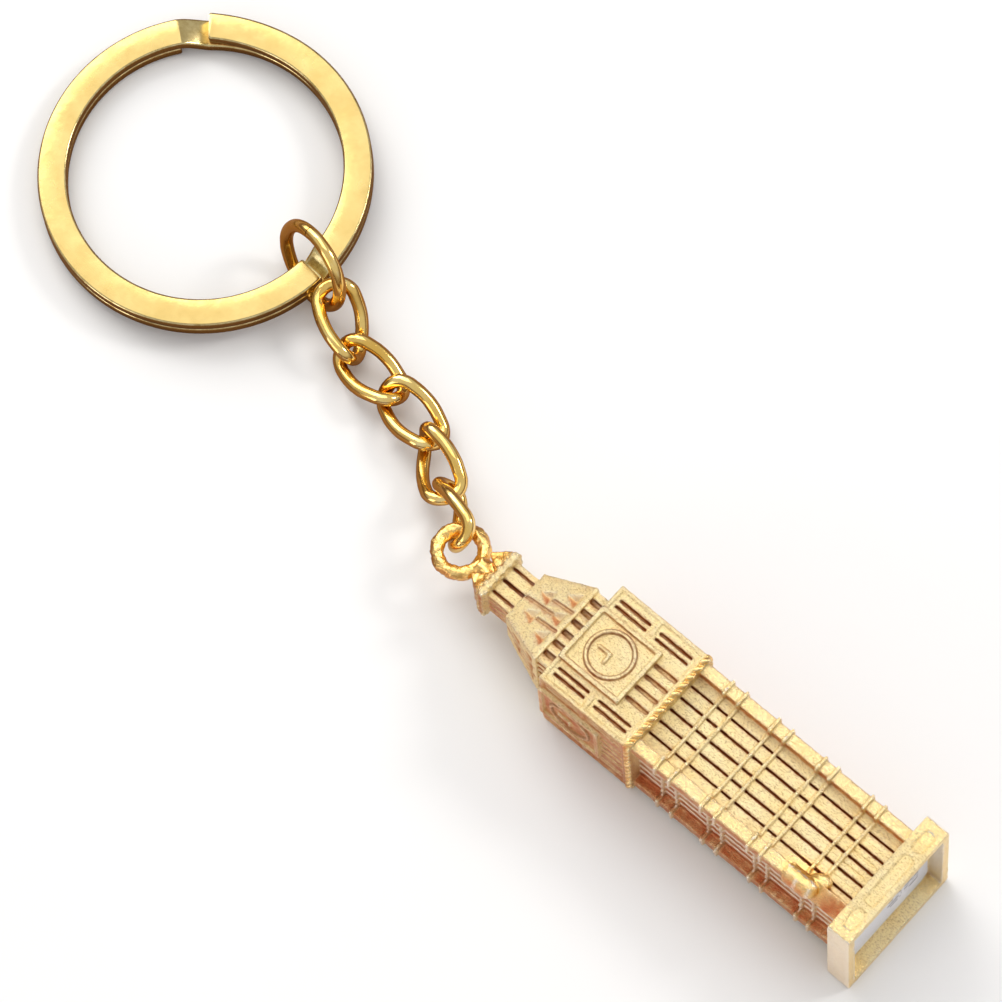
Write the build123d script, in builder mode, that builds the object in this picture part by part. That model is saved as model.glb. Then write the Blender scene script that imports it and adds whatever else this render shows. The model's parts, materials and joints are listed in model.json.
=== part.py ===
"""Souvenir key chain: a flat split ring, a jump ring, five curb links and a cast clock tower.

Millimetres. The object lies on a level surface at Z = 0 with the tower on its back, the tower's axis
along X with its foot at +X, and the key ring at -X. The origin is under the middle of the whole.
"""

import os
from math import atan, cos, degrees, radians, sin, tan

from build123d import *

# ---- overall placing -------------------------------------------------------------------------
EYELET_X = 2.92  # the tower's loop, from the middle of the whole
EYELET_Y = -10.3

# ---- tower: plinth ---------------------------------------------------------------------------
PLINTH_W = 13.2
PLINTH_H = 2.45
PLINTH_CORNER = 0.35
HOLLOW_W = 11.5
HOLLOW_DEPTH = 1.5
LABEL_W = 10.9
LABEL_T = 0.12
PANEL_W = 5.6
END_PANEL_W = 2.2
PANEL_STEP = 4.5
PANEL_H = 1.2
PANEL_ROUND = 0.4
PANEL_DEPTH = 0.14
PANEL_DROP = 0.1

# ---- tower: shaft ----------------------------------------------------------------------------
SHAFT_W = 10.2
BUTTRESS_W = 1.2
PANEL_SINK = 1.35  # from the buttress's face to the floor between the ribs
RIB_RISE = 0.45
RIB_PITCH = 1.37
RIB_W = 1.17
RIB_COUNT = 6
FINE_GROOVE = 0.16
COURSE_HEIGHTS = (5.75, 7.15, 11.05, 12.45, 16.2, 17.75, 21.35, 22.95)
COURSE_T = 0.3
COURSE_PROUD = 0.22
STUB_R = 0.95  # the broken-off runner, a round bar lying up one corner
STUB_Z = 6.3
STUB_H = 1.9
STUB_PROUD = 0.4
CHEEK_CUT = 1.5  # the flat that was ground across the corner below it
CHEEK_H = 6.3

# ---- tower: clock stage ----------------------------------------------------------------------
CLOCK_Z = 26.35
CLOCK_H = 9.7
CLOCK_W = 11.0
CORNICE_H = 0.45
CORNICE_W = 10.75
STAGE_SINK = 0.5
BORDER_PROUD = 0.15
EDGE_W = 0.36
PILASTER_W = 2.4
SLOT_W = 0.24
SLOT_D = 0.35
SLOT_END = 0.7
SLOT_OFFSETS = (1.15, 1.8)  # from the corner of the stage
WAIST_Z = 31.3
WAIST_H = 0.5
BEAD_W = 1.3
BEAD_H = 0.4
FACE_W = 6.0
FACE_H = 6.8
FACE_PROUD = 0.3
FACE_FRAME = 0.42
FACE_SINK = 0.3
DIAL_R = 2.3
DIAL_BAND = 0.34
DIAL_RISE = 0.25
HAND_W = 0.3
HOUR_HAND = 1.15
MINUTE_HAND = 1.35
FIN_COUNT = 5
FIN_PITCH = 1.25
FIN_W = 0.9

# ---- tower: belfry, roof and lantern ---------------------------------------------------------
BELFRY_H = 1.55
BELFRY_W = 8.0
OPENING_COUNT = 6
OPENING_W = 0.5
OPENING_D = 0.5
OPENING_PITCH = 1.22
ROOF_W = 8.4
ROOF_TOP_W = 5.1
ROOF_H = 5.0
EAVE_H = 0.3
DORMER_W = 1.7
DORMER_H = 1.45
DORMER_PITCH = 2.2
DORMER_SINK = 0.5
DORMER_TAPER = 40.0
LOW_ROW = 0.35
HIGH_ROW = 2.6
GROOVE_W = 0.32
GROOVE_D = 0.3
LANTERN_W = 4.0
LANTERN_H = 2.55
LANTERN_CUT = 0.55
LANTERN_STEP = 2.7
CAP_W = 5.1
CAP_H = 0.95
CAP_STEP = 0.3
SPIRE_W = 2.3
SPIRE_H = 1.6
SPIRE_TAPER = 33.0
NECK_R = 1.3
NECK_TAPER = 9.0
LOOP_Z = 50.2  # from the foot to the middle of the loop
LOOP_R = 2.08
LOOP_WIRE = 1.25

# ---- chain -----------------------------------------------------------------------------------
WIRE = 1.2
LINK_CROWN = 3.45  # from the link's middle to the wire's line at each crown
LINK_SHOULDER = 1.62
LINK_WAIST = 2.1
LINK_ROUNDS = (1.45, 6.0, 1.45, 1.45, 6.0, 1.45)
LINK_TWIST = 45.0
BUTT_GAP = 0.06
# The middle of each link (x and y from the tower's loop, z from the surface), yaw, pitch, roll.
LINK_POSES = (
    (-22.45, 9.62, 2.83, -30.97, -18.54, -23.14),
    (-17.64, 7.90, 2.08, -2.92, 0.88, 2.40),
    (-12.19, 7.32, 2.21, -9.65, 0.81, 3.11),
    (-7.32, 5.07, 3.00, -31.77, 8.99, 42.29),
    (-2.83, 2.49, 4.30, -35.04, 25.97, 90.92),
)
JUMP_R = 3.9
JUMP_POSE = (-27.54, 11.41, 4.36)
JUMP_NORMAL = (-0.223, -0.938, 0.267)
JUMP_CUT_ANGLE = 200.0

# ---- split ring ------------------------------------------------------------------------------
RING_OD = 30.0
BAND_W = 2.65
BAND_T = 1.05
SEAM = 0.05
SEAM_OVERRUN = 0.3
RING_EDGE = 0.2
RING_MIDDLE = (-41.14, 12.21)
RING_TILT = 3.1
# Each place where a band dips under the start of the next: its low and high angle from +X.
DIPS = ((-3.2, 3.9), (131.0, 142.0))


# The tower lies on the back edges of its plinth and its clock stage.
tower_tilt = atan((PLINTH_W - CLOCK_W) / 2 / (CLOCK_Z + CLOCK_H - PLINTH_H))
foot_z = PLINTH_H * sin(tower_tilt) + PLINTH_W / 2 * cos(tower_tilt)
foot = Plane(
    origin=(EYELET_X + LOOP_Z * cos(tower_tilt), EYELET_Y, foot_z),
    x_dir=(0, 1, 0),
    z_dir=(-cos(tower_tilt), 0, -sin(tower_tilt)),
)

shaft_h = CLOCK_Z - PLINTH_H
belfry_z = CLOCK_Z + CLOCK_H
roof_z = belfry_z + BELFRY_H
lantern_z = roof_z + ROOF_H
cap_z = lantern_z + LANTERN_H
spire_z = cap_z + CAP_H
panel_floor = SHAFT_W / 2 - PANEL_SINK
rib_face = panel_floor + RIB_RISE
stage_floor = CLOCK_W / 2 - STAGE_SINK
face_z = belfry_z - FACE_H
face_front = CLOCK_W / 2 + FACE_PROUD
face_floor = face_front - FACE_SINK
dial_z = face_z + FACE_H / 2
slope_h = ROOF_H - EAVE_H
roof_lean = degrees(atan((ROOF_W - ROOF_TOP_W) / 2 / slope_h))
UP = (Align.CENTER, Align.CENTER, Align.MIN)


def on_side(turn, out, height, lean=0.0):
    """A plane on one of the tower's four sides, its Y up the tower and its Z outwards."""
    side = Location((0, 0, 0), (0, 0, 90 * turn)) * Location((0, -out, height), (90 - lean, 0, 0))
    return Plane(foot.location * side)


def bars(places, width, height, z, face, depth, mode=Mode.ADD):
    """Upright boxes on all four sides: middles across the side, and the outer face's distance."""
    with PolarLocations(0, 4):
        with Locations(*[(x, -face, z) for x in places]):
            Box(width, depth, height, align=(Align.CENTER, Align.MIN, Align.MIN), mode=mode)


def corners(width, lows, height, reach):
    """Square posts on the four corners, their outer faces at reach from the axis."""
    place = reach - width / 2
    with Locations(*[(x, y, z) for x in (-place, place) for y in (-place, place) for z in lows]):
        Box(width, width, height, align=UP)


def spread(count, pitch):
    """Places evenly spaced about the middle of a side."""
    return [pitch * (n - (count - 1) / 2) for n in range(count)]


with BuildPart(foot) as tower:
    # Plinth, hollow underneath, with three shallow panels on each side.
    Box(PLINTH_W, PLINTH_W, PLINTH_H, align=UP)
    fillet(tower.edges().filter_by(Axis(foot.origin, foot.z_dir)), PLINTH_CORNER)
    Box(HOLLOW_W, HOLLOW_W, HOLLOW_DEPTH, align=UP, mode=Mode.SUBTRACT)
    with BuildSketch(*[on_side(turn, PLINTH_W / 2, PLINTH_H / 2) for turn in range(4)]):
        with Locations((0, -PANEL_DROP)):
            RectangleRounded(PANEL_W, PANEL_H, PANEL_ROUND)
        with Locations((-PANEL_STEP, -PANEL_DROP), (PANEL_STEP, -PANEL_DROP)):
            RectangleRounded(END_PANEL_W, PANEL_H, PANEL_ROUND)
    extrude(amount=-PANEL_DEPTH, mode=Mode.SUBTRACT)

    # Shaft: a core with ribs between four corner buttresses, and string courses round it.
    with Locations((0, 0, PLINTH_H)):
        Box(2 * panel_floor, 2 * panel_floor, shaft_h, align=UP)
    corners(BUTTRESS_W, (PLINTH_H,), shaft_h, SHAFT_W / 2)
    rib_places = spread(RIB_COUNT, RIB_PITCH)
    bars(rib_places, RIB_W, shaft_h, PLINTH_H, rib_face, RIB_RISE)
    fine_h = COURSE_HEIGHTS[0] - PLINTH_H
    bars(rib_places, FINE_GROOVE, fine_h, PLINTH_H, rib_face, FINE_GROOVE, Mode.SUBTRACT)
    course_w = 2 * (rib_face + COURSE_PROUD)
    with Locations(*[(0, 0, z) for z in COURSE_HEIGHTS]):
        Box(course_w, course_w, COURSE_T, align=UP)
    corners(BUTTRESS_W + 2 * COURSE_PROUD, COURSE_HEIGHTS, COURSE_T, SHAFT_W / 2 + COURSE_PROUD)

    # Clock stage: a sunk wall with a raised border, corner pilasters and a dial panel on each side.
    with Locations((0, 0, CLOCK_Z - CORNICE_H)):
        Box(CORNICE_W, CORNICE_W, CORNICE_H, align=UP)
    with Locations((0, 0, CLOCK_Z)):
        Box(2 * stage_floor, 2 * stage_floor, CLOCK_H, align=UP)
    corners(PILASTER_W, (CLOCK_Z,), CLOCK_H, CLOCK_W / 2 - BORDER_PROUD)
    with Locations((0, 0, CLOCK_Z), (0, 0, belfry_z - EDGE_W)):
        Box(CLOCK_W, CLOCK_W, EDGE_W, align=UP)
    corners(EDGE_W, (CLOCK_Z,), CLOCK_H, CLOCK_W / 2)
    slot_places = [side * (CLOCK_W / 2 - offset) for side in (-1, 1) for offset in SLOT_OFFSETS]
    for low, high in ((CLOCK_Z + SLOT_END, WAIST_Z - WAIST_H), (WAIST_Z + WAIST_H, belfry_z - SLOT_END)):
        bars(slot_places, SLOT_W, high - low, low, CLOCK_W / 2, BORDER_PROUD + SLOT_D, Mode.SUBTRACT)
    bead_place = CLOCK_W / 2 - PILASTER_W / 2
    bars((-bead_place, bead_place), BEAD_W, BEAD_H, WAIST_Z - BEAD_H / 2, CLOCK_W / 2, STAGE_SINK)
    band_h = face_z - CLOCK_Z - EDGE_W
    fin_places = spread(FIN_COUNT, FIN_PITCH)
    bars(fin_places, FIN_W, band_h, CLOCK_Z + EDGE_W, CLOCK_W / 2 - BORDER_PROUD, STAGE_SINK)
    bars((0,), FACE_W, FACE_H, face_z, face_front, FACE_PROUD + STAGE_SINK)
    pane = FACE_W - 2 * FACE_FRAME
    bars((0,), pane, FACE_H - 2 * FACE_FRAME, face_z + FACE_FRAME, face_front, FACE_SINK, Mode.SUBTRACT)
    with BuildSketch(*[on_side(turn, face_floor, dial_z) for turn in range(4)]):
        Circle(DIAL_R)
        Circle(DIAL_R - DIAL_BAND, mode=Mode.SUBTRACT)
        with Locations((0, MINUTE_HAND / 2)):
            Rectangle(HAND_W, MINUTE_HAND)
        with Locations((-HOUR_HAND / 2 + HAND_W / 2, 0)):
            Rectangle(HOUR_HAND, HAND_W)
    extrude(amount=DIAL_RISE)

    # Belfry: a band of small columns under the eaves.
    with Locations((0, 0, belfry_z)):
        Box(BELFRY_W, BELFRY_W, BELFRY_H, align=UP)
    openings = spread(OPENING_COUNT, OPENING_PITCH)
    bars(openings, OPENING_W, BELFRY_H, belfry_z, BELFRY_W / 2, OPENING_D, Mode.SUBTRACT)

    # Roof: a cut-off pyramid with sunk triangles and grooves on each slope.
    with Locations((0, 0, roof_z)):
        Box(ROOF_W, ROOF_W, EAVE_H, align=UP)
    with BuildSketch(foot.offset(roof_z + EAVE_H)):
        Rectangle(ROOF_W, ROOF_W)
    extrude(amount=slope_h, taper=roof_lean)
    slopes = [on_side(turn, ROOF_W / 2, roof_z + EAVE_H, roof_lean) for turn in range(4)]
    slope_length = slope_h / cos(radians(roof_lean))
    for row_z, places in ((LOW_ROW, spread(3, DORMER_PITCH)), (HIGH_ROW, spread(2, DORMER_PITCH))):
        with BuildSketch(*slopes):
            with Locations(*[(x, row_z) for x in places]):
                Polygon((-DORMER_W / 2, 0), (DORMER_W / 2, 0), (0, DORMER_H), align=None)
        extrude(amount=-DORMER_SINK, taper=DORMER_TAPER, mode=Mode.SUBTRACT)
    with BuildSketch(*slopes):
        for place in spread(2, DORMER_PITCH):
            with Locations((place, HIGH_ROW / 2)):
                Rectangle(GROOVE_W, HIGH_ROW)
        middle_low = LOW_ROW + DORMER_H - GROOVE_W
        with Locations((0, (middle_low + slope_length) / 2)):
            Rectangle(GROOVE_W, slope_length - middle_low)
    extrude(amount=-GROOVE_D, mode=Mode.SUBTRACT)

    # Lantern, cornice, four small spires and the neck of the loop.
    with Locations((0, 0, lantern_z)):
        Box(LANTERN_W, LANTERN_W, LANTERN_H, align=UP)
    bars((0,), GROOVE_W, LANTERN_H, lantern_z, LANTERN_W / 2, LANTERN_CUT, Mode.SUBTRACT)
    bars(spread(2, LANTERN_STEP), SLOT_W, LANTERN_H, lantern_z, LANTERN_W / 2, SLOT_D, Mode.SUBTRACT)
    with Locations((0, 0, cap_z)):
        Box(CAP_W - 2 * CAP_STEP, CAP_W - 2 * CAP_STEP, CAP_H, align=UP)
    with Locations((0, 0, cap_z + CAP_H / 4)):
        Box(CAP_W, CAP_W, CAP_H / 2, align=UP)
    with BuildSketch(foot.offset(spire_z)):
        with GridLocations(CAP_W / 2, CAP_W / 2, 2, 2):
            Rectangle(SPIRE_W, SPIRE_W)
    extrude(amount=SPIRE_H, taper=SPIRE_TAPER)
    with BuildSketch(foot.offset(cap_z + CAP_H / 2)):
        Circle(NECK_R)
    extrude(amount=LOOP_Z - LOOP_R - cap_z - CAP_H / 2, taper=NECK_TAPER)
    with Locations(Location((0, 0, LOOP_Z), (90, 0, 0))):
        Torus(LOOP_R, LOOP_WIRE / 2)

    # One corner is ground flat up to the stub where the casting was broken off its runner.
    post_face = SHAFT_W / 2
    collar_face = post_face + COURSE_PROUD
    clear = 2 * COURSE_PROUD + CHEEK_CUT
    with BuildSketch(foot.offset(PLINTH_H)):
        with Locations((-collar_face, -collar_face)):
            Polygon((0, 0), (clear, 0), (0, clear), align=None)
    extrude(amount=CHEEK_H, mode=Mode.SUBTRACT)
    with BuildSketch(foot.offset(PLINTH_H)):
        with Locations((CHEEK_CUT - post_face, CHEEK_CUT - post_face)):
            Polygon((0, 0), (-CHEEK_CUT, 0), (0, -CHEEK_CUT), align=None)
    extrude(amount=CHEEK_H)
    stub_place = STUB_R - SHAFT_W / 2 - STUB_PROUD
    with Locations((stub_place, stub_place, STUB_Z)):
        Cylinder(STUB_R, STUB_H, align=UP)
    with Locations(*[(stub_place, stub_place, z) for z in (STUB_Z, STUB_Z + STUB_H)]):
        Sphere(STUB_R)
tower.part.label = "tower"

with BuildPart(foot) as base_label:
    with Locations((0, 0, HOLLOW_DEPTH - LABEL_T)):
        Box(LABEL_W, LABEL_W, LABEL_T, align=UP)
base_label.part.label = "base_label"


def link_plane(x, y, z, yaw, pitch, roll):
    """A link's own plane: X from its near crown to its far one, Z up before the roll."""
    turned = Location((EYELET_X + x, EYELET_Y + y, z), (0, 0, yaw)) * Location((0, 0, 0), (0, -pitch, 0))
    return Plane(turned * Location((0, 0, 0), (roll, 0, 0)))


def link_line():
    """The wire's line in a link: an oval turned through a quarter between its two crowns."""
    across = LINK_SHOULDER * cos(radians(LINK_TWIST))
    lift = LINK_SHOULDER * sin(radians(LINK_TWIST))
    near_left = (-LINK_CROWN, -across, -lift)
    near_right = (-LINK_CROWN, across, lift)
    far_left = (LINK_CROWN, -across, lift)
    far_right = (LINK_CROWN, across, -lift)
    gap = BUTT_GAP / 2
    start = (LINK_CROWN, -gap * cos(radians(LINK_TWIST)), gap * sin(radians(LINK_TWIST)))
    end = (LINK_CROWN, gap * cos(radians(LINK_TWIST)), -gap * sin(radians(LINK_TWIST)))
    return [start, far_left, (0, -LINK_WAIST, 0), near_left, near_right, (0, LINK_WAIST, 0), far_right, end]


links = []
for number, pose in enumerate(LINK_POSES, start=1):
    with BuildPart(link_plane(*pose)) as link:
        with BuildLine(link_plane(*pose)) as line:
            FilletPolyline(*link_line(), radius=LINK_ROUNDS)
        with BuildSketch(Plane(origin=line.line @ 0, z_dir=line.line % 0)):
            Circle(WIRE / 2)
        sweep(path=line.line)
    link.part.label = f"chain_link_{number}"
    links.append(link)

jump_place = Vector(EYELET_X + JUMP_POSE[0], EYELET_Y + JUMP_POSE[1], JUMP_POSE[2])
jump_plane = Plane(origin=jump_place, z_dir=JUMP_NORMAL)
with BuildPart(jump_plane) as jump_ring:
    Torus(JUMP_R, WIRE / 2)
    with PolarLocations(JUMP_R, 1, start_angle=JUMP_CUT_ANGLE):
        Box(2 * WIRE, BUTT_GAP, 2 * WIRE, mode=Mode.SUBTRACT)
jump_ring.part.label = "jump_ring"

# The key ring lies with its far edge on the surface and the jump ring under its near side.
tilt = radians(RING_TILT)
ring_rest = RING_OD / 2 * sin(tilt)
ring_plane = Plane(
    origin=(EYELET_X + RING_MIDDLE[0], EYELET_Y + RING_MIDDLE[1], ring_rest),
    x_dir=(cos(tilt), 0, sin(tilt)),
    z_dir=(-sin(tilt), 0, cos(tilt)),
)
ring_h = 2 * BAND_T
ring_out = RING_OD / 2
ring_in = ring_out - BAND_W
ring_mean = ring_out - BAND_W / 2

with BuildPart(ring_plane) as split_ring:
    Cylinder(ring_out, ring_h, align=UP)
    Cylinder(ring_in, ring_h, align=UP, mode=Mode.SUBTRACT)
    rims = split_ring.edges().filter_by(GeomType.CIRCLE)
    fillet(rims, RING_EDGE)
    # The seam between the two layers, left out where a band passes from one layer to the other.
    for low, high in zip([dip[1] for dip in DIPS], [DIPS[1][0], DIPS[0][0] + 360]):
        reach = high - low + SEAM_OVERRUN
        with Locations(Location((0, 0, BAND_T), (0, 0, low))):
            Cylinder(RING_OD, SEAM, arc_size=reach, mode=Mode.SUBTRACT)
    for low, high in DIPS:
        run = 2 * ring_mean * tan(radians(high - low) / 2)
        middle = radians((low + high) / 2)
        side = Plane(
            ring_plane.location
            * Location((0, 0, 0), (0, 0, degrees(middle)))
            * Location((ring_mean, 0, 0), (90, 0, 90))
        )
        with BuildSketch(side):
            Polygon((-run / 2, ring_h), (run / 2, ring_h), (-run / 2, BAND_T + SEAM), align=None)
            Polygon((-run / 2, 0), (run / 2, 0), (run / 2, BAND_T - SEAM), align=None)
        extrude(amount=BAND_W, both=True, mode=Mode.SUBTRACT)
split_ring.part.label = "split_ring"

os.makedirs("parts", exist_ok=True)
for piece in [tower, base_label, *links, jump_ring, split_ring]:
    export_step(piece.part, f"parts/{piece.part.label}.step")
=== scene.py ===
"""The looks of the souvenir key chain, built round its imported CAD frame.

The tower is worked in its own millimetres, standing up: X to its right, -Y out of its front, Z up from
its foot. Everything else is in the row's metres.
"""

import json
import math
import random

import bmesh
import bpy
import numpy as np
from mathutils import Euler, Matrix, Vector, noise
from mathutils.bvhtree import BVHTree


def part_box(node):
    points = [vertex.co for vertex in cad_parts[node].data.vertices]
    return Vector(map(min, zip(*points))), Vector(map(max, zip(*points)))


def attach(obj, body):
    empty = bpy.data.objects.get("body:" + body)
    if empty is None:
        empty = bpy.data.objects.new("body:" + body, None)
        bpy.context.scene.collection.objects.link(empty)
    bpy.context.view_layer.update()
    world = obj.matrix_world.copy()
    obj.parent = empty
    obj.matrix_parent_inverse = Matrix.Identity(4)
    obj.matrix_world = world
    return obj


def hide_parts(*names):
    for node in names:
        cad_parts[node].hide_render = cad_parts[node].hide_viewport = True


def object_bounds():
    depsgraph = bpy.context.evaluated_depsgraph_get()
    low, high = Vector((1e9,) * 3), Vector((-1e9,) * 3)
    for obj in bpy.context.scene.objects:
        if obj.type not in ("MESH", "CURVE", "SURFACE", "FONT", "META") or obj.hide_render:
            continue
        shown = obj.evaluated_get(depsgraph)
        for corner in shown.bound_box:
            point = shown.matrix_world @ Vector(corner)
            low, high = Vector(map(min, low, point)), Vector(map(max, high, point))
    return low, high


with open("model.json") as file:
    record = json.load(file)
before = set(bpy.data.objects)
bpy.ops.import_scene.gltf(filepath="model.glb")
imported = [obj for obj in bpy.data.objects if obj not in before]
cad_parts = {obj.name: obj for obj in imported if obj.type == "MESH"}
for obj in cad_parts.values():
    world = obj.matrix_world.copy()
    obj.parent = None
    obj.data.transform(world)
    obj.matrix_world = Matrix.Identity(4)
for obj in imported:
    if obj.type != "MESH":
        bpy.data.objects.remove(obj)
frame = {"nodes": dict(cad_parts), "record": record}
cad_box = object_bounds()

MM = 0.001
SEED = 11

# ---- camera and lights -------------------------------------------------------------------------
AZIMUTH = 44.03
ELEVATION = 71.46
ROLL = -2.71
DISTANCE = 0.7327
LENS = 301.45
AIM = Vector((0.00245, -0.00447, -0.00178))  # from the middle of the object
PAINTED_REFLECTION_ZONE = (-4.0, 8.0)  # mm along the floor over which its painted dark warm reflection fades

# ---- tower sizes, in its own millimetres --------------------------------------------------------
CORNICE_Z = 26.12
CORNICE_OUT = 5.4
SHAFT_TOP = CORNICE_Z - 0.3
ROPE_COUNT = 11
ROPE_RADII = (0.56, 0.34, 0.27)
ROPE_LAY = 0.62
COURSE_HEIGHTS = (5.75, 7.15, 11.05, 12.45, 16.2, 17.75, 21.35, 22.95)
COURSE_OUT = 4.42
COLLAR_OUT = 5.32
COURSE_MID = 0.15
RIB_PITCH = 1.37
RIB_W = 1.17
RIB_OUT = 4.05
RIDGE_W = 0.42  # the painted highlight strip along the front of each rib on the flanks
CAP_Z = 45.15
CAP_H = 0.95
CAP_OUT = 2.5
CAP_BEADS = 6
HAMMER_Z = 45.8
DIAL_Z = 32.65
DIAL_RADII = (2.3, 1.96)
DIAL_LINE = 0.11
STUB_MIDDLE = (-4.1, -4.7, 7.1)
STUB_REACH = (1.8, 1.2, 2.5)
STUB_TAIL = (-3.5, -4.5, 6.0)
TAIL_RADII = (0.8, 0.55, 1.25)
TAIL_LEAN = -0.6
CHEEK_TOP = 8.9
CHEEK_IN = 3.4
PLINTH_TOP = 2.6
CLOCK_TOP = 36.0
ROOF_TOP = 43.2
POST_INSIDE = 3.9  # how far out the corner posts start

# ---- tower masks: how strong each is, and where a slanting face starts to take one and takes it all -----
LOOP_POLISH = 0.95
ROPE_POLISH = 0.8
CHEEK_POLISH = 0.5
POST_POLISH = 0.3
# RIB_PALE to ROOF_PALE are the strengths of painted highlights.
RIB_PALE = 0.9
COURSE_PALE = 0.75
FOOT_PALE = 0.9
ROOF_PALE = 0.3
DIAL_DARK = 0.62
CHEEK_FADE = (1.2, 0.15)
FLANK_FADE = (0.55, 0.35)
ROOF_FADE = (0.15, 0.2)
LOOP_FADE = (HAMMER_Z, 0.6)

# ---- split ring, in millimetres and degrees round from +X ------------------------------------------
BAND_W = 2.6
RING_EASE = 0.05  # keeps its rim clear of the first link at the end of their swing
BAND_T = 1.025
BAND_EDGE = 0.24
SEAM = 0.05
CUT_GAP = 0.3
SPRING_OUT = (0.32, 0.0)  # how far each band's cut start stands out
SPRING_ARC = 30
CUT_EASE = 0.93
RIM_LEAN = 0.7  # how far a rounded edge's faces turn from the flat where the painted highlight is brightest
RIM_SPREAD = 0.3
DIPS = ((-3.2, 3.9), (131.0, 142.0))  # where a band dips under the start of the next

# ---- label, in millimetres and shares of its width -----------------------------------------------------
LABEL_T = 0.09
LABEL_STEPS = 24
LABEL_CORNER = 1.86
LABEL_LIFT = 0.25
PRINT_BARS = 16.0
PRINT_ACROSS = (0.6, 0.8)
PRINT_HALF = 0.085
PRINT_MIDDLE = 0.55
PRINT_TALL = 0.33

# ---- meshing, in millimetres ---------------------------------------------------------------------------
VOXEL = 0.085
TOWER_FACES = 190000
TOWER_REACHES = (1.1, 0.35)  # how near metal has to be to shade a hollow
TOWER_RAYS = 9
WIRE_REACHES = (0.8,)
WIRE_RAYS = 10
CAST_WAVE = (2.2, 0.04)  # each wave's scale and depth
LOOP_WAVES = ((1.4, 0.12), (3.4, 0.07))
WIRE_WAVE = (0.7, 0.035)
WIRE_EASE = 0.09


# ==== small tools ==================================================================================


def metal_mesh(node, place):
    """A copy of a CAD node's mesh with its faces joined up, taken through place."""
    bm = bmesh.new()
    bm.from_mesh(frame["nodes"][node].data)
    bm.transform(place)
    size = max((v.co for v in bm.verts), key=lambda co: co.length).length
    bmesh.ops.remove_doubles(bm, verts=bm.verts, dist=size * 2e-6)
    bmesh.ops.recalc_face_normals(bm, faces=bm.faces)
    return bm


def add_object(name, bm):
    """A new object from a bmesh, which is used up."""
    mesh = bpy.data.meshes.new(name)
    bm.to_mesh(mesh)
    bm.free()
    piece = bpy.data.objects.new(name, mesh)
    bpy.context.scene.collection.objects.link(piece)
    return piece


def modify(piece, kind, **values):
    """Adds a modifier, sets its values and applies it at once."""
    modifier = piece.modifiers.new(kind.lower(), kind)
    for key, value in values.items():
        setattr(modifier, key, value)
    depsgraph = bpy.context.evaluated_depsgraph_get()
    result = bpy.data.meshes.new_from_object(piece.evaluated_get(depsgraph))
    piece.modifiers.clear()
    old = piece.data
    piece.data = result
    bpy.data.meshes.remove(old)


def arrays(mesh):
    """The mesh's points and normals."""
    points = np.zeros(len(mesh.vertices) * 3)
    mesh.vertices.foreach_get("co", points)
    normals = np.zeros(len(mesh.vertices) * 3)
    mesh.vertex_normals.foreach_get("vector", normals)
    return points.reshape(-1, 3), normals.reshape(-1, 3)


def even_directions(count):
    """Directions spread evenly over a half sphere about +Z, closer together near its pole."""
    golden = math.pi * (3 - math.sqrt(5))
    rows = []
    for n in range(count):
        out, angle = math.sqrt((n + 0.5) / count), golden * n
        rows.append(Vector((out * math.cos(angle), out * math.sin(angle), math.sqrt(1 - out * out))))
    return rows


def save_mask(mesh, name, values):
    layer = mesh.attributes.new(name, "FLOAT", "POINT")
    layer.data.foreach_set("value", np.clip(values, 0, 1).astype(np.float32))


def neighbour_mean(mesh, values):
    """Each point's mean over the points that share an edge with it."""
    ends = np.zeros(len(mesh.edges) * 2, np.int64)
    mesh.edges.foreach_get("vertices", ends)
    a, b = ends.reshape(-1, 2).T
    total = np.zeros_like(values)
    count = np.zeros(len(mesh.vertices))
    for here, there in ((a, b), (b, a)):
        np.add.at(total, here, values[there])
        np.add.at(count, here, 1)
    return total / np.maximum(count, 1).reshape((-1,) + (1,) * (values.ndim - 1))


def hidden_share(mesh, tree, reach, fan):
    """How much of the sky over each point is blocked within reach, 0 to 1."""
    points, normals = arrays(mesh)
    hidden = np.zeros(len(points))
    for n, (point, normal) in enumerate(zip(points, normals)):
        up = Vector(normal)
        if up.length < 0.5:
            continue
        turn = up.to_track_quat("Z", "Y")
        start = Vector(point) + up * reach * 0.02
        blocked = 0.0
        for ray in fan:
            hit = tree.ray_cast(start, turn @ ray, reach)
            if hit[0] is not None:
                blocked += 1 - 0.6 * hit[3] / reach
        hidden[n] = blocked / len(fan)
    return hidden


def shade_masks(mesh, reaches, rays):
    """Writes two masks on the mesh: recess, 1 deep in a hollow, and edge, 1 on a proud edge."""
    points, normals = arrays(mesh)
    mesh.calc_loop_triangles()
    tris = [tuple(t.vertices) for t in mesh.loop_triangles]
    tree = BVHTree.FromPolygons([tuple(p) for p in points], tris)
    fan = even_directions(rays)
    hidden = np.maximum.reduce([hidden_share(mesh, tree, reach, fan) for reach in reaches])
    hidden = 0.5 * hidden + 0.5 * neighbour_mean(mesh, hidden)
    save_mask(mesh, "recess", hidden * 1.25)
    around = neighbour_mean(mesh, points)
    bulge = np.einsum("ij,ij->i", points - around, normals)
    spacing = np.linalg.norm(points - around, axis=1) + 1e-9
    edge = np.clip(bulge / spacing, 0, 1) * np.clip(bulge / (0.05 * reaches[0]), 0, 1)
    edge = 0.5 * edge + 0.5 * neighbour_mean(mesh, edge)
    save_mask(mesh, "edge", edge * 1.6)


def wave(mesh, scale, depth, choose=None):
    """Moves the points along their normals by a soft noise, only those that choose keeps."""
    points, normals = arrays(mesh)
    shift = np.array([noise.noise(Vector(p) * scale) for p in points])
    if choose is not None:
        shift = shift * choose(points)
    points = points + normals * (shift * depth)[:, None]
    mesh.vertices.foreach_set("co", points.ravel())
    mesh.update()


# ==== shader node tools ============================================================================


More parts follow.
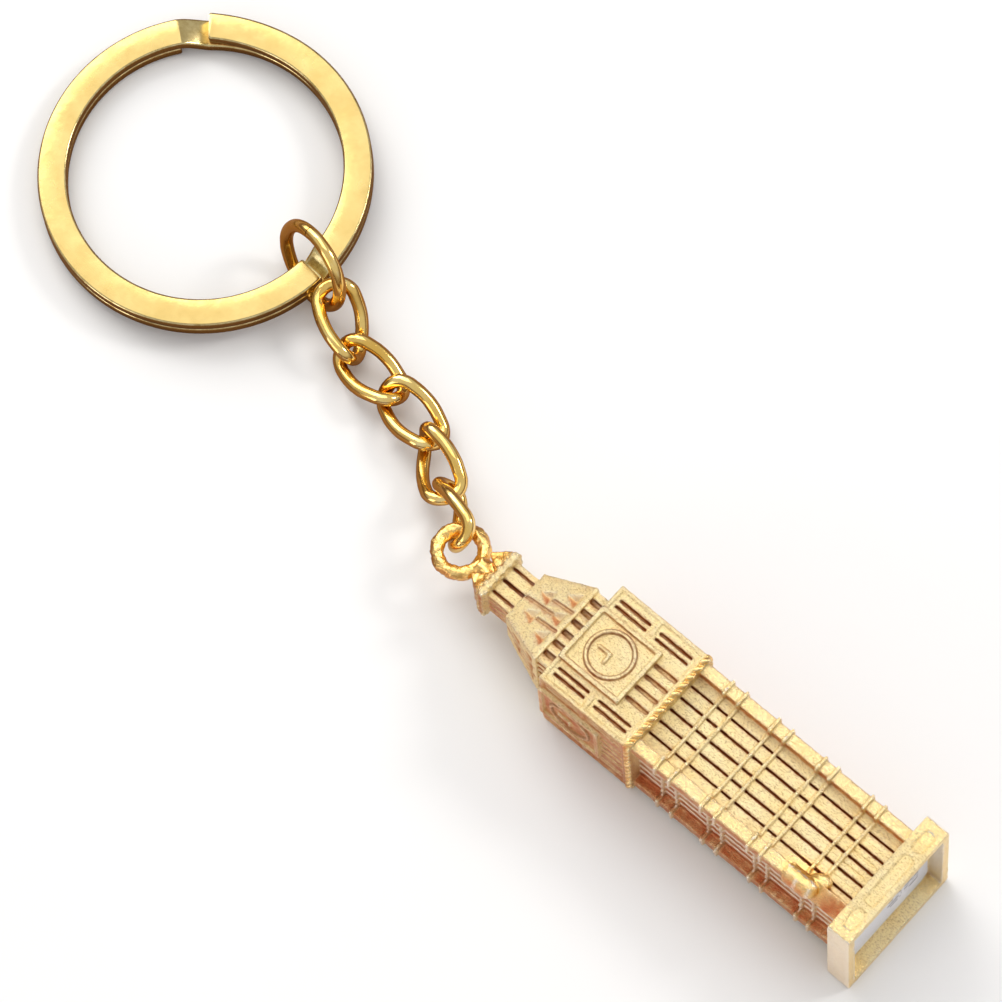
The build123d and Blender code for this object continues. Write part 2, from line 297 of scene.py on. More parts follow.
class Nodes:
    """Short forms for laying out a node tree."""

    def __init__(self, tree):
        self.tree = tree
        tree.nodes.clear()

    def add(self, kind, values=None, **settings):
        node = self.tree.nodes.new(kind)
        for key, value in settings.items():
            setattr(node, key, value)
        for key, value in (values or {}).items():
            if isinstance(value, bpy.types.NodeSocket):
                self.tree.links.new(value, node.inputs[key])
            else:
                node.inputs[key].default_value = value
        return node

    def math(self, operation, *values):
        return self.add("ShaderNodeMath", dict(enumerate(values)), operation=operation).outputs[0]

    def mix(self, factor, first, second, blend="MIX"):
        node = self.tree.nodes.new("ShaderNodeMix")
        node.data_type = "RGBA"
        node.blend_type = blend
        for socket, value in ((node.inputs[0], factor), (node.inputs[6], first), (node.inputs[7], second)):
            if isinstance(value, bpy.types.NodeSocket):
                self.tree.links.new(value, socket)
            else:
                socket.default_value = value
        return node.outputs[2]

    def spread(self, value, low, high, to_low=0.0, to_high=1.0):
        values = {0: value, 1: low, 2: high, 3: to_low, 4: to_high}
        return self.add("ShaderNodeMapRange", values).outputs[0]

    def noise(self, vector, scale, detail=3.0, rough=0.55):
        values = {"Vector": vector, "Scale": scale, "Detail": detail, "Roughness": rough}
        return self.add("ShaderNodeTexNoise", values).outputs[0]


def new_group(name, inputs, outputs):
    """A shader node group with named sockets, and its Nodes, group input and group output."""
    tree = bpy.data.node_groups.new(name, "ShaderNodeTree")
    nodes = Nodes(tree)
    for label, kind, default in inputs:
        socket = tree.interface.new_socket(label, in_out="INPUT", socket_type=kind)
        if default is not None:
            socket.default_value = default
    for label, kind in outputs:
        tree.interface.new_socket(label, in_out="OUTPUT", socket_type=kind)
    return tree, nodes, nodes.add("NodeGroupInput"), nodes.add("NodeGroupOutput")


def cast_grain_group():
    """Grain of a die casting: streaks along the ribs with fine pits between them."""
    tree, n, given, out = new_group(
        "cast_grain",
        [("Vector", "NodeSocketVector", None), ("Scale", "NodeSocketFloat", 3.0)],
        [("Height", "NodeSocketFloat"), ("Speckle", "NodeSocketFloat")],
    )
    vector, scale = given.outputs["Vector"], given.outputs["Scale"]
    streak_space = n.add("ShaderNodeMapping", {"Vector": vector, "Scale": (0.45, 1.0, 1.0)}).outputs[0]
    streaks = n.noise(streak_space, scale, 4.0, 0.6)
    pits = n.noise(vector, n.math("MULTIPLY", scale, 1.7), 3.0, 0.7)
    both = n.math("ADD", n.math("MULTIPLY", streaks, 0.5), n.math("MULTIPLY", pits, 0.5))
    n.tree.links.new(both, out.inputs["Height"])
    n.tree.links.new(n.spread(both, 0.5, 0.62), out.inputs["Speckle"])
    return tree


def gold_wear_shade_highlight_group():
    """Colour of gold plate: a broad drift, painted shade with copper patina in the hollows, and painted
    highlights with worn bright metal on the edges.
    """
    tree, n, given, out = new_group(
        "gold_wear_shade_highlight",
        [
            ("Vector", "NodeSocketVector", None),
            ("Plate", "NodeSocketColor", (0.9, 0.66, 0.3, 1)),
            ("Deep Plate", "NodeSocketColor", (0.75, 0.48, 0.16, 1)),
            ("Hollow", "NodeSocketColor", (0.4, 0.14, 0.05, 1)),
            ("Bright", "NodeSocketColor", (1.0, 0.86, 0.55, 1)),
            ("Hollow Start", "NodeSocketFloat", 0.25),
            ("Hollow End", "NodeSocketFloat", 0.7),
            ("Edge Wear And Highlight", "NodeSocketFloat", 0.7),
        ],
        [("Color", "NodeSocketColor"), ("Hollows", "NodeSocketFloat"), ("Edges", "NodeSocketFloat")],
    )
    get = given.outputs
    drift = n.spread(n.noise(get["Vector"], 0.35, 3.0, 0.6), 0.35, 0.65)
    plate = n.mix(drift, get["Plate"], get["Deep Plate"])
    # The recess mask is sky occlusion, so the hollow colour is painted shade as well as patina.
    recess = n.add("ShaderNodeAttribute", attribute_name="recess").outputs["Fac"]
    uneven = n.math("MULTIPLY_ADD", n.noise(get["Vector"], 2.2, 3.0, 0.6), 0.24, -0.12)
    hollows = n.spread(n.math("ADD", recess, uneven), get["Hollow Start"], get["Hollow End"])
    # The bright colour on proud edges is painted highlight as well as wear.
    edge = n.add("ShaderNodeAttribute", attribute_name="edge").outputs["Fac"]
    breaks = n.spread(n.noise(get["Vector"], 1.3, 4.0, 0.7), 0.3, 0.6)
    edges = n.math("MULTIPLY", n.math("MULTIPLY", edge, get["Edge Wear And Highlight"]), breaks)
    worn = n.mix(edges, n.mix(hollows, plate, get["Hollow"]), get["Bright"])
    n.tree.links.new(worn, out.inputs["Color"])
    n.tree.links.new(hollows, out.inputs["Hollows"])
    n.tree.links.new(edges, out.inputs["Edges"])
    return tree


def handling_group():
    """Marks of handling on bright plate: smudges in the gloss and fine scratches all ways."""
    tree, n, given, out = new_group(
        "handling",
        [
            ("Vector", "NodeSocketVector", None),
            ("Low", "NodeSocketFloat", 0.12),
            ("High", "NodeSocketFloat", 0.3),
        ],
        [("Roughness", "NodeSocketFloat"), ("Height", "NodeSocketFloat")],
    )
    get = given.outputs
    smudge = n.spread(n.noise(get["Vector"], 0.28, 4.0, 0.6), 0.42, 0.66)
    lines = None
    for turn, stretch in ((0.5, (0.15, 5.0, 1.0)), (-0.8, (0.2, 4.0, 1.0)), (1.4, (0.1, 6.0, 1.0))):
        values = {"Vector": get["Vector"], "Rotation": (0, 0, turn), "Scale": stretch}
        turned = n.add("ShaderNodeMapping", values).outputs[0]
        line = n.spread(n.noise(turned, 2.0, 2.0, 0.5), 0.6, 0.75)
        lines = line if lines is None else n.math("MAXIMUM", lines, line)
    both = n.math("MAXIMUM", smudge, n.math("MULTIPLY", lines, 0.5))
    n.tree.links.new(n.spread(both, 0.0, 1.0, get["Low"], get["High"]), out.inputs["Roughness"])
    n.tree.links.new(n.math("MULTIPLY", lines, -1.0), out.inputs["Height"])
    return tree


GROUPS = {"grain": cast_grain_group(), "wear_shade_and_highlight": gold_wear_shade_highlight_group(), "handling": handling_group()}


def start_material(name):
    """A node material: its Nodes, the object's own millimetres as a vector, and its shader."""
    material = bpy.data.materials.new(name)
    material.use_nodes = True
    n = Nodes(material.node_tree)
    place = n.add("ShaderNodeTexCoord").outputs["Object"]
    vector = n.add("ShaderNodeMapping", {"Vector": place, "Scale": (1 / MM,) * 3}).outputs[0]
    shader = n.add("ShaderNodeBsdfPrincipled")
    output = n.add("ShaderNodeOutputMaterial")
    n.tree.links.new(shader.outputs[0], output.inputs[0])
    return material, n, vector, shader


def use_group(n, key, values):
    node = n.add("ShaderNodeGroup", node_tree=GROUPS[key])
    for name, value in values.items():
        if isinstance(value, bpy.types.NodeSocket):
            n.tree.links.new(value, node.inputs[name])
        else:
            node.inputs[name].default_value = value
    return node.outputs


def bump(n, height, strength, depth, normal=None):
    values = {"Height": height, "Strength": strength, "Distance": depth}
    if normal is not None:
        values["Normal"] = normal
    return n.add("ShaderNodeBump", values).outputs[0]


def cast_gold():
    """Champagne gold on a grainy zinc casting, smoother and yellower where it was polished."""
    material, n, vector, shader = start_material("cast_gold")
    polish = n.add("ShaderNodeAttribute", attribute_name="polish").outputs["Fac"]
    flank = n.add("ShaderNodeAttribute", attribute_name="flank").outputs["Fac"]
    grain = use_group(n, "grain", {"Vector": vector, "Scale": 9.0})
    wear_shade_and_highlight = use_group(
        n,
        "wear_shade_and_highlight",
        {
            "Vector": vector,
            "Plate": (1.0, 0.86, 0.5, 1),
            "Deep Plate": (0.98, 0.79, 0.4, 1),
            "Hollow": (0.4, 0.15, 0.055, 1),
            "Bright": (1.0, 0.95, 0.76, 1),
            "Hollow Start": 0.36,
            "Hollow End": 0.7,
            "Edge Wear And Highlight": 1.0,
        },
    )
    rough_skin = n.math("SUBTRACT", 1.0, polish)
    pits = n.math("MULTIPLY", n.math("MULTIPLY", grain["Speckle"], rough_skin), 0.75)
    plate = n.mix(pits, wear_shade_and_highlight["Color"], (0.4, 0.23, 0.09, 1))
    plate = n.mix(n.math("MULTIPLY", polish, 0.7), plate, (0.92, 0.62, 0.17, 1), "MULTIPLY")
    # Painted shade and dark reflection: copper on the flanks, rear posts and one side of each roof rib; on
    # the ground corner it is real bare copper.
    patchy = n.spread(n.noise(vector, 0.8, 3.0, 0.6), 0.3, 0.6, 0.55, 0.95)
    kept = n.math("SUBTRACT", 1.0, n.math("MULTIPLY", wear_shade_and_highlight["Edges"], 1.6))
    bare_and_shade = n.math("MULTIPLY", n.math("MULTIPLY", flank, patchy), n.math("MAXIMUM", kept, 0.0))
    copper = n.mix(wear_shade_and_highlight["Hollows"], (0.56, 0.15, 0.06, 1), (0.3, 0.08, 0.03, 1))
    # Painted highlights: the pale strips on rib edges, courses, foot and the lit side of the roof ribs.
    painted_highlight = n.add("ShaderNodeAttribute", attribute_name="painted_highlight").outputs["Fac"]
    skin = n.mix(n.math("MULTIPLY", painted_highlight, 0.85), n.mix(bare_and_shade, plate, copper), (1.0, 0.95, 0.86, 1))
    n.tree.links.new(skin, shader.inputs["Base Color"])
    gloss = n.spread(grain["Speckle"], 0.0, 1.0, 0.32, 0.5)
    gloss = n.math("SUBTRACT", gloss, n.math("MULTIPLY", wear_shade_and_highlight["Edges"], 0.14))
    gloss = n.math("SUBTRACT", gloss, n.math("MULTIPLY", polish, 0.2))
    n.tree.links.new(gloss, shader.inputs["Roughness"])
    height = n.math("MULTIPLY", grain["Height"], n.math("MULTIPLY_ADD", polish, -0.75, 1.0))
    n.tree.links.new(bump(n, height, 0.85, 0.16 * MM), shader.inputs["Normal"])
    shader.inputs["Metallic"].default_value = 1.0
    return material


def bright_gold(name, plate, deep, low, high):
    """Polished gold plate, as on the rings and the chain."""
    material, n, vector, shader = start_material(name)
    marks = use_group(n, "handling", {"Vector": vector, "Low": low, "High": high})
    wear_shade_and_highlight = use_group(
        n,
        "wear_shade_and_highlight",
        {
            "Vector": vector,
            "Plate": plate,
            "Deep Plate": deep,
            "Hollow": (0.55, 0.22, 0.04, 1),
            "Bright": (1.0, 0.88, 0.5, 1),
            "Hollow Start": 0.2,
            "Hollow End": 0.9,
            "Edge Wear And Highlight": 0.9,
        },
    )
    n.tree.links.new(wear_shade_and_highlight["Color"], shader.inputs["Base Color"])
    n.tree.links.new(marks["Roughness"], shader.inputs["Roughness"])
    soft = bump(n, n.noise(vector, 0.9, 2.0, 0.5), 0.35, 0.05 * MM)
    n.tree.links.new(bump(n, marks["Height"], 0.15, 0.01 * MM, soft), shader.inputs["Normal"])
    shader.inputs["Metallic"].default_value = 1.0
    return material


def label_paper(low, high):
    """White gummed paper with two small blocks of plain grey bars."""
    material, n, vector, shader = start_material("label_paper")
    fibres = n.noise(vector, 6.0, 4.0, 0.7)
    paper = n.mix(n.spread(fibres, 0.35, 0.65), (0.78, 0.8, 0.86, 1), (0.9, 0.91, 0.95, 1))
    axes = n.add("ShaderNodeSeparateXYZ", {0: vector}).outputs
    across = n.spread(axes[1], low.y / MM, high.y / MM)
    tall = n.spread(axes[2], low.z / MM, high.z / MM)
    bars = n.math("GREATER_THAN", n.math("FRACT", n.math("MULTIPLY", tall, PRINT_BARS)), 0.45)
    breaks = n.math("GREATER_THAN", n.noise(vector, 1.7, 2.0, 0.7), 0.47)
    ink = n.math("MULTIPLY", bars, breaks)
    block = None
    for middle in PRINT_ACROSS:
        near = n.math("LESS_THAN", n.math("ABSOLUTE", n.math("SUBTRACT", across, middle)), PRINT_HALF)
        block = near if block is None else n.math("MAXIMUM", block, near)
    from_middle = n.math("ABSOLUTE", n.math("SUBTRACT", tall, PRINT_MIDDLE))
    inside = n.math("LESS_THAN", from_middle, PRINT_TALL)
    printed = n.math("MULTIPLY", n.math("MULTIPLY", ink, block), inside)
    sheet = n.mix(n.math("MULTIPLY", printed, 0.9), paper, (0.2, 0.2, 0.23, 1))
    n.tree.links.new(sheet, shader.inputs["Base Color"])
    n.tree.links.new(n.spread(fibres, 0.3, 0.7, 0.45, 0.65), shader.inputs["Roughness"])
    n.tree.links.new(bump(n, fibres, 0.3, 0.03 * MM), shader.inputs["Normal"])
    return material


# ==== the tower ====================================================================================


def mount(name):
    return next(m for m in frame["record"]["mounts"] if m["name"] == name)


def tower_place():
    """Takes the tower's own millimetres to the row's metres: X to its right, -Y out of its front."""
    down = Vector(mount("foot_rim")["axis"]).normalized()
    low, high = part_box("base_label")
    middle = (low + high) / 2
    foot = middle + down * (Vector(mount("foot_rim")["pos_m"]) - middle).dot(down)
    right = Vector((0, 1, 0))
    front = right.cross(-down)
    place = Matrix((right, -front, -down)).transposed().to_4x4() @ Matrix.Scale(MM, 4)
    return Matrix.Translation(foot) @ place


def add_lump(bm, centre, radii, turn=(0, 0, 0)):
    """One small rounded lump of metal."""
    shape = Matrix.Translation(centre) @ Euler(turn).to_matrix().to_4x4() @ Matrix.Diagonal((*radii, 1))
    bmesh.ops.create_icosphere(bm, subdivisions=2, radius=1, matrix=shape)


def four_sides(point, side):
    return Matrix.Rotation(side * math.pi / 2, 4, "Z") @ Vector(point)


def add_rope(bm):
    """The twisted cord moulding under the clock stage."""
    for side in range(4):
        for n in range(ROPE_COUNT):
            x = 2 * CORNICE_OUT * ((n + 0.5) / ROPE_COUNT - 0.5)
            centre = four_sides((x, -CORNICE_OUT, CORNICE_Z), side)
            turn = Euler((0, ROPE_LAY, 0)).to_matrix().to_4x4()
            turn = Matrix.Rotation(side * math.pi / 2, 4, "Z") @ turn
            add_lump(bm, centre, ROPE_RADII, turn.to_euler())


def add_course_lumps(bm, chance):
    """Crumbs of metal where the string courses cross the ribs."""
    for side in range(4):
        for height in COURSE_HEIGHTS:
            for n in range(-3, 4):
                size = chance.uniform(0.15, 0.28)
                x = RIB_PITCH * n + chance.uniform(-0.15, 0.15)
                z = height + COURSE_MID + chance.uniform(-0.05, 0.05)
                out = COURSE_OUT if abs(x) < POST_INSIDE else COLLAR_OUT
                if z > CHEEK_TOP or abs(n) < 3:
                    add_lump(bm, four_sides((x, 0.06 - out, z), side), (size, size * 0.8, size * 0.8))


def add_cap_beads(bm, chance):
    """The lumpy beads round the cornice of the lantern."""
    for side in range(4):
        for n in range(CAP_BEADS):
            x = 2 * CAP_OUT * ((n + 0.5) / CAP_BEADS - 0.5) + chance.uniform(-0.08, 0.08)
            for z in (CAP_Z + CAP_H * 0.3, CAP_Z + CAP_H * 0.75):
                size = chance.uniform(0.18, 0.29)
                y = -CAP_OUT + chance.uniform(0.02, 0.12)
                add_lump(bm, four_sides((x, y, z), side), (size * 1.2, size, size))


def add_stub_tail(bm):
    """The rest of the broken-off runner, smeared down over the ribs beside the stub."""
    add_lump(bm, STUB_TAIL, TAIL_RADII, (0, TAIL_LEAN, 0))


def fade(values, start, width):
    """0 up to start, then rising to 1 over width."""
    return np.clip((values - start) / width, 0, 1)


def cheek_mask(points, normals):
    """The corner that is ground flat."""
    x, y, z = points.T
    corner = (x < -CHEEK_IN) & (y < -CHEEK_IN) & (z > PLINTH_TOP) & (z < CHEEK_TOP)
    return corner * fade(-normals[:, 0] - normals[:, 1], *CHEEK_FADE)


def polish_mask(points, normals, stub, cheek):
    """Where the casting is polished smooth."""
    x, y, z = points.T
    rope = np.clip(3 - np.abs(z - CORNICE_Z) / 0.12, 0, 1)
    rope = rope * (np.maximum(np.abs(x), np.abs(y)) > CORNICE_OUT - 0.05)
    post = (np.abs(x) > POST_INSIDE) * (z < CORNICE_Z) * (normals[:, 1] < -0.7)
    parts = [LOOP_POLISH * fade(z, *LOOP_FADE), stub, ROPE_POLISH * rope]
    return np.maximum.reduce([*parts, POST_POLISH * post, CHEEK_POLISH * cheek])


def shade_and_copper_mask(points, normals, roof, along, cheek):
    """Copper colour: painted shade and dark reflection on the flanks, the rear posts and one side of each
    roof rib, and real worn copper on the ground corner.
    """
    x, y, z = points.T
    flank = fade(np.abs(normals[:, 0]), *FLANK_FADE) * (z > PLINTH_TOP) * ~roof
    rear_post = (y > POST_INSIDE - 0.3) & (normals[:, 1] < -0.6) & (np.abs(x) > RIB_OUT)
    rear_post = rear_post & (z > PLINTH_TOP) & (z < SHAFT_TOP)
    return np.maximum.reduce([flank, cheek, rear_post.astype(float), roof * fade(along, *ROOF_FADE)])


def painted_highlight_mask(points, normals, roof, along):
    """Painted highlights: pale strips on the flank's ribs and courses, the foot, and one side of each roof
    rib.
    """
    x, y, z = points.T
    out, sideways = np.abs(x), np.abs(normals[:, 0])
    shaft = (sideways > 0.3) * (z > PLINTH_TOP) * (z < SHAFT_TOP)
    in_rib = np.mod(y + RIB_W / 2 + RIB_PITCH / 2, RIB_PITCH)
    on_rib = np.clip((RIDGE_W - in_rib) / 0.1, 0, 1) * (out < COURSE_OUT) * (out > RIB_OUT)
    pale = RIB_PALE * shaft * on_rib
    for height in COURSE_HEIGHTS:
        on_course = np.clip(1.6 - np.abs(z - height - COURSE_MID) / 0.12, 0, 1)
        pale = np.maximum(pale, COURSE_PALE * shaft * on_course * (out > RIB_OUT + 0.1))
    foot = FOOT_PALE * (sideways > FLANK_FADE[0]) * (z < PLINTH_TOP) * (out > COLLAR_OUT)
    return np.maximum.reduce([pale, foot, ROOF_PALE * (roof * fade(-along, *ROOF_FADE))])


def add_dial_lines(mesh, points):
    """Darkens two fine circles round each dial, in the mask of the hollows."""
    x, y, z = points.T
    across = np.where(np.abs(y) > np.abs(x), x, y)
    from_middle = np.hypot(across, z - DIAL_Z)
    from_line = np.minimum.reduce([np.abs(from_middle - radius) for radius in DIAL_RADII])
    recess = mesh.attributes["recess"].data
    depth = np.zeros(len(points))
    recess.foreach_get("value", depth)
    depth = np.maximum(depth, DIAL_DARK * np.clip(1.6 - from_line / DIAL_LINE, 0, 1))
    recess.foreach_set("value", depth.astype(np.float32))


def tower_masks(mesh):
    """Writes where the casting is polished, where copper is painted as shade and dark reflection (real only
    on the ground corner), and where pale highlights are painted.
    """
    points, normals = arrays(mesh)
    x, y, z = points.T
    roof = (z > CLOCK_TOP) & (z < ROOF_TOP)
    along = np.where(np.abs(y) > np.abs(x), -np.sign(y) * normals[:, 0], np.sign(x) * normals[:, 1])
    from_stub = np.linalg.norm((points - STUB_MIDDLE) / STUB_REACH, axis=1)
    stub = np.clip(1.6 - 1.2 * from_stub, 0, 1)
    cheek = cheek_mask(points, normals) * (1 - stub)
    save_mask(mesh, "polish", neighbour_mean(mesh, polish_mask(points, normals, stub, cheek)))
    save_mask(mesh, "flank", neighbour_mean(mesh, shade_and_copper_mask(points, normals, roof, along, cheek)))
    save_mask(mesh, "painted_highlight", painted_highlight_mask(points, normals, roof, along))
    add_dial_lines(mesh, points)


def build_tower():
    """The casting: the CAD tower with its small ornament added, all melted into one skin."""
    chance = random.Random(SEED)
    place = tower_place()
    bm = metal_mesh("tower", place.inverted())
    add_rope(bm)
    add_course_lumps(bm, chance)
    add_stub_tail(bm)
    add_cap_beads(bm, chance)
    piece = add_object("tower_casting", bm)
    modify(piece, "REMESH", mode="VOXEL", voxel_size=VOXEL)
    modify(piece, "SMOOTH", factor=0.5, iterations=2)
    wave(piece.data, *CAST_WAVE)
    for scale, depth in LOOP_WAVES:
        wave(piece.data, scale, depth, lambda points: np.clip(points[:, 2] - HAMMER_Z, 0, 1))
    modify(piece, "TRIANGULATE")
    faces = len(piece.data.polygons)
    if faces > TOWER_FACES:
        modify(piece, "DECIMATE", ratio=TOWER_FACES / faces)
    shade_masks(piece.data, TOWER_REACHES, TOWER_RAYS)
    tower_masks(piece.data)
    piece.data.transform(place)
    piece.data.shade_smooth()
    return piece


# ==== rings, links and label =======================================================================


def build_wire(name, node):
    """A ring or link: the CAD wire with its cut ends eased and its surface a little uneven."""
    bm = metal_mesh(node, Matrix.Scale(1 / MM, 4))
    piece = add_object(name, bm)
    modify(piece, "BEVEL", width=WIRE_EASE, segments=2, limit_method="ANGLE", angle_limit=math.radians(50))
    modify(piece, "TRIANGULATE")
    wave(piece.data, *WIRE_WAVE)
    shade_masks(piece.data, WIRE_REACHES, WIRE_RAYS)
    piece.data.transform(Matrix.Scale(MM, 4))
    piece.data.shade_smooth()
    piece.data.set_sharp_from_angle(angle=math.radians(35))
    return piece


def ring_place():
    """The key ring's own place: millimetres from its middle, Z out of its flat."""
    normal = Vector(mount("key_loop")["axis"]).normalized()
    low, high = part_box("split_ring")
    turn = Matrix((Vector((normal.z, 0, -normal.x)), Vector((0, 1, 0)), normal)).transposed().to_4x4()
    return Matrix.Translation((low + high) / 2) @ turn @ Matrix.Scale(MM, 4)


def band_section():
    """The flat wire's section: its width outwards, its thickness up, and its corners rounded."""
    wide, tall = BAND_W / 2 - BAND_EDGE, BAND_T / 2 - BAND_EDGE
    points = []
    for corner, (x, z) in enumerate(((wide, tall), (-wide, tall), (-wide, -tall), (wide, -tall))):
        for step in range(5):
            angle = math.radians(90 * corner + 22.5 * step)
            points.append((x + BAND_EDGE * math.cos(angle), z + BAND_EDGE * math.sin(angle)))
    return points


def add_band(bm, start, dip_from, dip_to, end, spring):
    """One turn of flat wire, from its cut start on top, down through a dip, to its cut end below."""
    radius = (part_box("split_ring")[1].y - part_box("split_ring")[0].y) / 2 / MM - BAND_W / 2 - RING_EASE
    level = (BAND_T + SEAM) / 2
    section = band_section()
    count = round((start - end) * 2)
    rings = []
    for step in range(count + 1):
        angle = start + (end - start) * step / count
        fall = min(1.0, max(0.0, (dip_from - angle) / (dip_from - dip_to)))
        fall = 0.6 * fall + 0.4 * fall * fall * (3 - 2 * fall)
        free = max(0.0, 1 - (start - angle) / SPRING_ARC)
        out = radius + spring * free * free
        ease = CUT_EASE if step in (0, count) else 1.0
        turn = Matrix.Rotation(math.radians(angle), 4, "Z")
        row = [turn @ Vector((out + x * ease, 0, level * (1 - 2 * fall) + z * ease)) for x, z in section]
        rings.append([bm.verts.new(point) for point in row])
    for first, second in zip(rings, rings[1:]):
        for k in range(len(section)):
            after = (k + 1) % len(section)
            bm.faces.new((first[k], first[after], second[after], second[k]))
    bm.faces.new(rings[0])
    bm.faces.new(reversed(rings[-1]))


def build_split_ring():
    """The key ring: two turns of flat wire, each dipping under the cut start of the other."""
    (b_low, b_high), (a_low, a_high) = DIPS
    bm = bmesh.new()
    add_band(bm, a_low - CUT_GAP, b_high, b_low, a_high - 360 + CUT_GAP, SPRING_OUT[0])
    add_band(bm, b_low - CUT_GAP, a_high - 360, a_low - 360, b_high - 360 + CUT_GAP, SPRING_OUT[1])
    bmesh.ops.recalc_face_normals(bm, faces=bm.faces)
    piece = add_object("split_ring_band", bm)
    modify(piece, "TRIANGULATE")
    shade_masks(piece.data, WIRE_REACHES, WIRE_RAYS)
    # Painted highlight: the edge mask becomes a bright band on the rounded rims, set by their facing.
    _, normals = arrays(piece.data)
    rim = 1 - np.abs(np.abs(normals[:, 2]) - RIM_LEAN) / RIM_SPREAD
    piece.data.attributes["edge"].data.foreach_set("value", np.clip(rim, 0, 1).astype(np.float32))
    piece.data.transform(ring_place())
    piece.data.shade_smooth()
    piece.data.set_sharp_from_angle(angle=math.radians(32))
    return piece


def build_label():
    """The paper sticker, its corners rounded and its edges just lifting."""
    low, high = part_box("base_label")
    middle, half = (low + high) / 2, (high - low) / 2
    down = Vector(mount("foot_rim")["axis"]).normalized()
    right = Vector((0, 1, 0))
    tall = down.cross(right)
    across, thick = half.y, LABEL_T * MM
    steps = LABEL_STEPS
    bm = bmesh.new()
    rows = []
    for i in range(steps + 1):
        row = []
        for j in range(steps + 1):
            u, v = 2 * i / steps - 1, 2 * j / steps - 1
            corner = max(0.0, abs(u) + abs(v) - LABEL_CORNER)
            u, v = u * (1 - corner * 0.5), v * (1 - corner * 0.5)
            lift = LABEL_LIFT * thick * (u * u * v * v)
            point = middle + right * (u * across) + tall * (v * across) + down * lift
            row.append(bm.verts.new(point))
        rows.append(row)
    for i in range(steps):
        for j in range(steps):
            bm.faces.new((rows[i][j], rows[i + 1][j], rows[i + 1][j + 1], rows[i][j + 1]))
    bmesh.ops.recalc_face_normals(bm, faces=bm.faces)
    piece = add_object("label_sheet", bm)
    modify(piece, "SOLIDIFY", thickness=thick, offset=0)
    piece.data.shade_smooth()
    piece.data.set_sharp_from_angle(angle=math.radians(35))
    return piece


def keep_inside(mesh, node):
    """Holds the points to the node's own box, which the waves may pass by a hair."""
    points, _ = arrays(mesh)
    low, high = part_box(node)
    mesh.vertices.foreach_set("co", np.clip(points, low, high).ravel())
    mesh.update()


def finish_piece(piece, body, node, material):
    keep_inside(piece.data, node)
    piece.data.materials.clear()
    piece.data.materials.append(material)
    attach(piece, body)
    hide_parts(node)


def build_pieces():
    finish_piece(build_tower(), "tower", "tower", cast_gold())
    low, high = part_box("base_label")
    finish_piece(build_label(), "tower", "base_label", label_paper(low, high))
    wire = bright_gold("wire_gold", (0.98, 0.7, 0.23, 1), (0.9, 0.56, 0.12, 1), 0.07, 0.18)
    # The band's plate colours are the wire's gold made darker: painted shade, so the ring looks less lit.
    band = bright_gold("shaded_band_gold", (0.52, 0.39, 0.15, 1), (0.46, 0.33, 0.115, 1), 0.14, 0.3)
    for n in range(1, 6):
        node = f"chain_link_{n}"
        finish_piece(build_wire(f"link_wire_{n}", node), f"link_{n}", node, wire)
    finish_piece(build_wire("jump_ring_wire", "jump_ring"), "jump_ring", "jump_ring", wire)
    finish_piece(build_split_ring(), "split_ring", "split_ring", band)


# ==== floor, lights and camera =====================================================================


def build_floor():
    """A plain pale surface, far wider than the view, which the metal sees as a painted dark warm reflection
    fading along X.
    """
    bm = bmesh.new()
    bmesh.ops.create_grid(bm, x_segments=8, y_segments=8, size=2.0)
    floor = add_object("floor", bm)
    material, n, vector, shader = start_material("floor_paper")
    tone = n.mix(n.noise(vector, 0.02, 2.0, 0.5), (0.88, 0.88, 0.88, 1), (0.92, 0.92, 0.92, 1))
    along = n.add("ShaderNodeSeparateXYZ", {0: vector}).outputs[0]
    # Painted reflection: glossy rays see the floor dark and warm, fading to pale along X.
    painted_reflection = n.mix(n.spread(along, *PAINTED_REFLECTION_ZONE), (0.26, 0.13, 0.06, 1), (0.92, 0.84, 0.78, 1))
    mirrored = n.add("ShaderNodeLightPath").outputs["Is Glossy Ray"]
    n.tree.links.new(n.mix(mirrored, tone, painted_reflection), shader.inputs["Base Color"])
    shader.inputs["Roughness"].default_value = 0.7
    floor.data.materials.append(material)


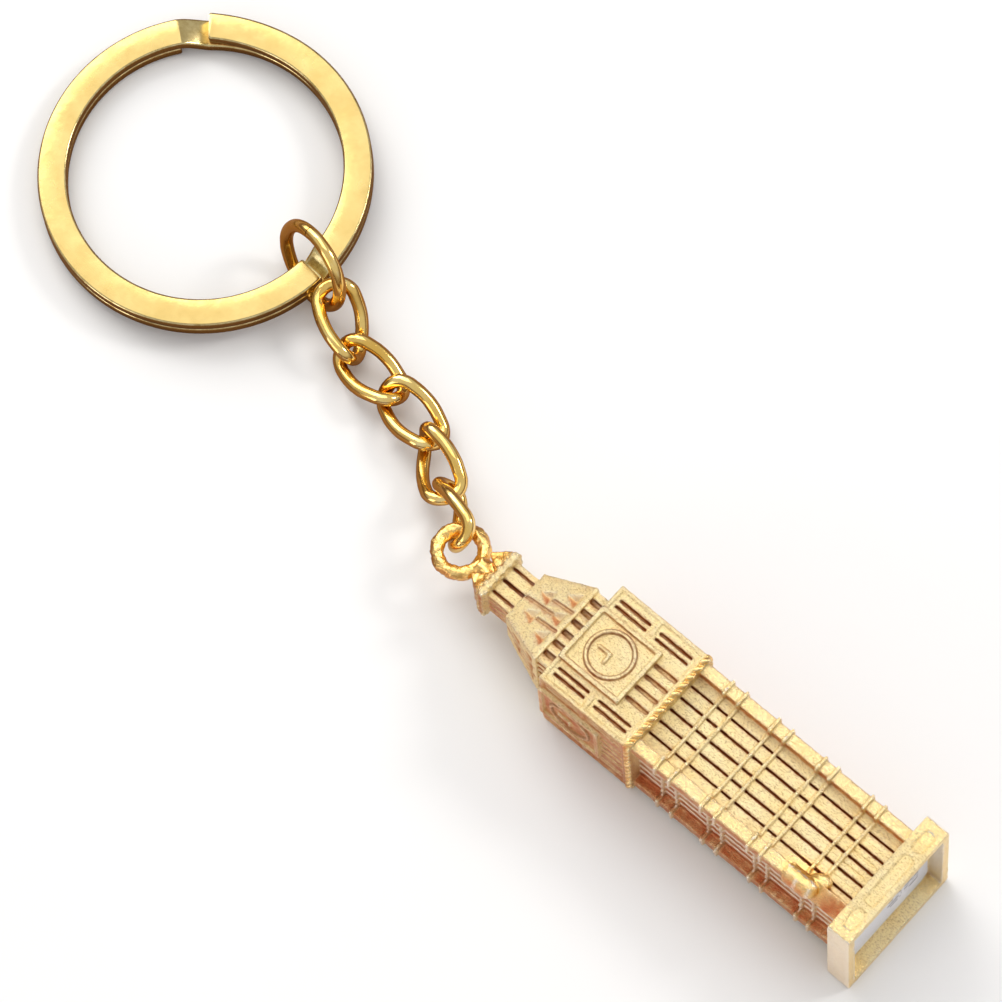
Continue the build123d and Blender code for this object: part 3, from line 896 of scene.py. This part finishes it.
def add_softbox(name, direction, distance, size, glow, colour):
    """A square soft light aimed at the middle of the object. Glow is its brightness, not its power."""
    light = bpy.data.lights.new(name, "AREA")
    light.size = size
    light.energy = glow * math.pi * size * size
    light.color = colour
    holder = bpy.data.objects.new(name, light)
    bpy.context.scene.collection.objects.link(holder)
    back = Vector(direction).normalized()
    holder.location = (cad_box[0] + cad_box[1]) / 2 + back * distance
    holder.rotation_euler = back.to_track_quat("Z", "Y").to_euler()


def build_lights():
    add_softbox("overhead_softbox", (-0.3, 0.23, 0.93), 1.0, 0.7, 1.4, (1.0, 0.99, 0.97))
    add_softbox("head_softbox", (-0.76, 0.23, 0.6), 1.0, 0.7, 2.8, (1.0, 0.98, 0.94))
    add_softbox("window", (0.45, 0.75, 0.75), 1.0, 0.22, 14.0, (1.0, 0.98, 0.95))
    add_softbox("low_fill", (-0.22, -0.92, 0.28), 1.0, 0.45, 2.0, (1.0, 0.95, 0.9))
    world = bpy.data.worlds.new("studio")
    bpy.context.scene.world = world
    world.use_nodes = True
    n = Nodes(world.node_tree)
    way = n.add("ShaderNodeTexCoord").outputs["Generated"]
    height = n.add("ShaderNodeSeparateXYZ", {0: way}).outputs[2]
    tone = n.mix(n.spread(height, 0.12, 0.55), (0.16, 0.09, 0.05, 1), (0.69, 0.69, 0.7, 1))
    glow = n.add("ShaderNodeBackground", {"Color": tone, "Strength": 0.95})
    output = n.add("ShaderNodeOutputWorld")
    n.tree.links.new(glow.outputs[0], output.inputs[0])


def build_camera():
    """A long lens, looking down over the tower's front."""
    camera = bpy.data.objects.new("camera", bpy.data.cameras.new("camera"))
    bpy.context.scene.collection.objects.link(camera)
    azimuth, elevation = math.radians(AZIMUTH), math.radians(ELEVATION)
    back = Vector(
        (
            math.sin(azimuth) * math.cos(elevation),
            -math.cos(azimuth) * math.cos(elevation),
            math.sin(elevation),
        )
    )
    aim = (cad_box[0] + cad_box[1]) / 2 + AIM
    turn = (-back).to_track_quat("-Z", "Y").to_matrix().to_4x4() @ Matrix.Rotation(math.radians(ROLL), 4, "Z")
    camera.matrix_world = Matrix.Translation(aim + back * DISTANCE) @ turn
    camera.data.lens = LENS
    camera.data.sensor_width = 36.0
    camera.data.clip_start = 0.05
    bpy.context.scene.camera = camera
    bpy.context.scene.view_settings.view_transform = "Standard"


build_camera()
build_lights()
build_floor()
build_pieces()
